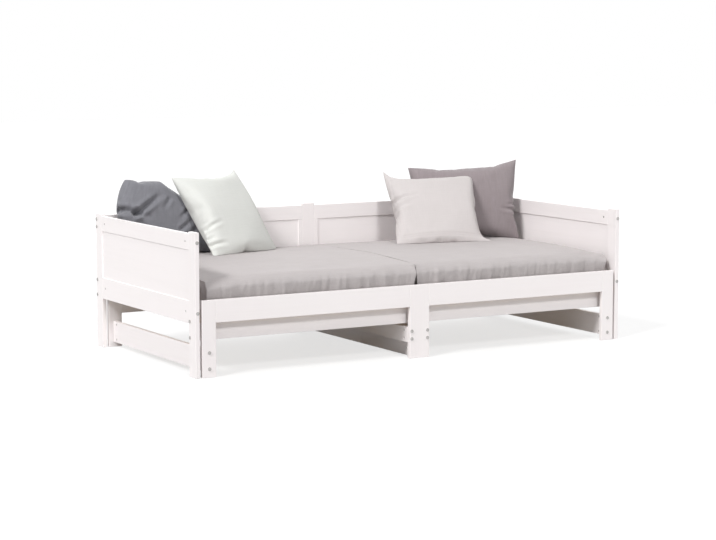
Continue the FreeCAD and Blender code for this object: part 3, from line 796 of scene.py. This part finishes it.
def shaped_outline(points, half, corners, ears, bows):
    """Move a pillow's corners, the tips of its corners and its edges, on its own upright face."""
    u = np.clip(points[:, X] / half[X], -1, 1)
    w = np.clip(points[:, Z] / half[Z], -1, 1)
    left, right, lower, upper = (1 - u) / 2, (1 + u) / 2, (1 - w) / 2, (1 + w) / 2
    shares = (left * lower, right * lower, right * upper, left * upper)
    for share, corner, ear in zip(shares, corners, ears):
        for axis, broad, tip in zip((X, Z), corner, ear):
            points[:, axis] += share * broad * MM + share**EAR_POWER * tip * MM
    below, beside_right, above, beside_left = (bow * MM for bow in bows)
    points[:, Z] += (1 - u * u) * (above * upper**2 - below * lower**2)
    points[:, X] += (1 - w * w) * (beside_right * right**2 - beside_left * left**2)


def slumped(points, half, slump):
    """Let the inner side sink, the more the nearer to its edge."""
    height = 2 * half[Z]
    nearness = np.clip(points[:, X] / half[X] - SLUMP_START, 0, None) / (1 - SLUMP_START)
    points[:, Z] = (points[:, Z] + half[Z]) * (1 - slump * MM * nearness / height) - half[Z]


def fold_depths(points, folds):
    """How far the folds press in each point: a valley between two low ridges for each fold."""
    sink = np.zeros(len(points))
    for x0, z0, x1, z1, depth, width in folds:
        start = np.array((x0, z0)) * MM
        line = np.array((x1, z1)) * MM - start
        length = np.linalg.norm(line)
        line /= length
        offset = points[:, (X, Z)] - start
        along_line = offset @ line / length
        across = np.abs(offset @ np.array((-line[1], line[0]))) / (width * MM)
        lead = np.clip((along_line + FOLD_LEAD) / FOLD_LEAD_SPAN, 0, 1)
        tail = np.clip((FOLD_TAIL - along_line) / FOLD_TAIL_SPAN, 0, 1)
        ridges = FOLD_RIDGE_SHARE * np.exp(-((across - FOLD_RIDGE_PLACE) ** 2))
        sink += depth * MM * (np.exp(-(across**2)) - ridges) * lead * tail
    return sink


def stitch_depths(points, half, distances):
    """How far lines of stitches, at distances from the rim, press in each point."""
    from_rim = np.minimum(half[X] - np.abs(points[:, X]), half[Z] - np.abs(points[:, Z]))
    rows = [np.exp(-(((from_rim - distance * MM) / STITCH_WIDTH) ** 2)) for distance in distances]
    return STITCH_DEPTH * sum(rows)


def cleared(points, trees):
    """Press points out of neighbouring surfaces, so that the pillow lies flat where it rests."""
    for k in range(len(points)):
        for tree in trees:
            spot, normal, _, _ = tree.find_nearest(Vector(points[k]), PILLOW_REACH)
            if spot is None:
                continue
            depth = (Vector(points[k]) - spot).dot(normal)
            if depth < PILLOW_GAP:
                points[k] = spot + normal * PILLOW_GAP


def pillow_piece(node, around, looks):
    """A filled pillow, shaped on its own upright face and then laid against what is around it."""
    turn = Matrix.Rotation(math.radians(looks["turn"]), 3, "Z")
    lean = Matrix.Rotation(-math.radians(looks["lean"]), 3, "X")
    pose = np.array(turn @ lean)
    solid = points_of(nodes[node].data) @ pose
    low = solid.min(0)
    high = solid.max(0)
    size = high - low
    half = size / 2
    piece = filled_pillow(f"{node}_cover", size, looks["limpness"], looks["evening"])
    points = points_of(piece.data)
    footward = np.clip((half[Z] - points[:, Z]) / size[Z], 0, 1)
    points[:, Y] *= 1 - looks["flatness"] * footward**2
    shaped_outline(points, half, looks["corners"], looks["ears"], looks["bows"])
    slumped(points, half, looks["slump"])
    set_points(piece.data, points)
    outward = normals_of(piece.data)
    facing = np.clip(FOLD_FACING - outward[:, Y] * FOLD_FACING_RATE, 0, 1)
    points -= outward * (fold_depths(points, looks["folds"]) * facing)[:, None]
    if looks["stitches"]:
        points -= outward * stitch_depths(points, half, looks["stitches"])[:, None]
    points = (points + (low + high) / 2) @ pose.T
    points[:, Z] -= PILLOW_SINK
    cleared(points, around)
    set_points(piece.data, points)
    dress(piece, node, looks["body"])
    return piece


FRAME_AROUND = ("back_top_rail", "back_panel", "end_panel", "end_top_rail")
for side, mattress in mattresses.items():
    around = [surface_tree(mattress)]
    around += [surface_tree(nodes[f"{side}_{name}"]) for name in FRAME_AROUND]
    for row in ("rear", "front"):
        node = f"{side}_{row}_pillow"
        pillow = pillow_piece(node, around, PILLOWS[node])
        around.append(surface_tree(pillow))


# Stage: floor, light and camera

WHITE = (1, 1, 1, 1)
FLOOR_HALF = 20.0
FLOOR_DROP = 0.5 * MM
FLOOR_ROUGHNESS = 0.9
FLOOR_SPECULAR = 0.1
FLOOR_GLOW = 0.7
FLOOR_SEEN = colour(149, 149, 149)
FLOOR_BOUNCE = colour(200, 200, 200)
SKY = 0.28


def seen_directly(shader):
    """One for rays from the camera, a mirror or glass, and nought for the rest."""
    path = shader.add("LightPath")
    seen = shader.math("MAXIMUM", path.outputs["Is Camera Ray"], path.outputs["Is Glossy Ray"])
    return shader.math("MAXIMUM", seen, path.outputs["Is Transmission Ray"])


floor_corners = ((-1, -1), (1, -1), (1, 1), (-1, 1))
floor_mesh = bpy.data.meshes.new("floor")
floor_mesh.from_pydata(
    [(x * FLOOR_HALF, y * FLOOR_HALF, -FLOOR_DROP) for x, y in floor_corners],
    [],
    [(0, 1, 2, 3)],
)
floor = new_piece("floor", floor_mesh)
floor_shader = Shader("floor")
floor_seen = seen_directly(floor_shader)
floor_shader.finish(
    Base_Color=floor_shader.mix(floor_seen, FLOOR_BOUNCE, FLOOR_SEEN),
    Roughness=FLOOR_ROUGHNESS,
    Specular_IOR_Level=FLOOR_SPECULAR,
    Emission_Color=WHITE,
    Emission_Strength=floor_shader.math("MULTIPLY", floor_seen, FLOOR_GLOW),
)
set_material(floor, floor_shader.material)

# The sky gives even soft light, and the camera, mirrors and glass see it plain white
world = bpy.data.worlds.new("studio")
world.use_nodes = True
scene.world = world
backdrop = ShaderNodes(world.node_tree)
sky_strength = backdrop.spread(seen_directly(backdrop), to=(SKY, 1.0), within=(0.0, 1.0))
background = world.node_tree.nodes["Background"]
background.inputs["Color"].default_value = WHITE
backdrop.feed(background.inputs["Strength"], sky_strength)


def studio_light(name, direction, strength, spread):
    """A distant lamp that shines along a direction, with soft shadows by its spread in degrees."""
    lamp = bpy.data.objects.new(name, bpy.data.lights.new(name, "SUN"))
    lamp.data.energy = strength
    lamp.data.angle = math.radians(spread)
    lamp.rotation_euler = Vector(direction).to_track_quat("-Z", "Y").to_euler()
    scene.collection.objects.link(lamp)


studio_light("key_light", direction=(0.67, 0.25, -0.70), strength=2.25, spread=14)
studio_light("front_light", direction=(0.12, 0.79, -0.60), strength=1.2, spread=9)
studio_light("rear_light", direction=(-0.45, -0.70, -0.55), strength=1.1, spread=50)

PHOTO_WIDTH = 716
CAMERA_FOCUS = 2046.1
CAMERA_PLACE = Vector((-4.43626, -7.60342, 1.36570))
CAMERA_YAW = math.radians(30.192)
CAMERA_PITCH = math.radians(6.798)
SENSOR_WIDTH = 36.0

camera = bpy.data.objects.new("camera", bpy.data.cameras.new("camera"))
camera.data.sensor_width = SENSOR_WIDTH
camera.data.lens = CAMERA_FOCUS / PHOTO_WIDTH * SENSOR_WIDTH
camera.location = CAMERA_PLACE
look = Vector(
    (
        math.sin(CAMERA_YAW) * math.cos(CAMERA_PITCH),
        math.cos(CAMERA_YAW) * math.cos(CAMERA_PITCH),
        -math.sin(CAMERA_PITCH),
    )
)
camera.rotation_euler = look.to_track_quat("-Z", "Y").to_euler()
scene.collection.objects.link(camera)
scene.camera = camera
scene.view_settings.view_transform = "Standard"
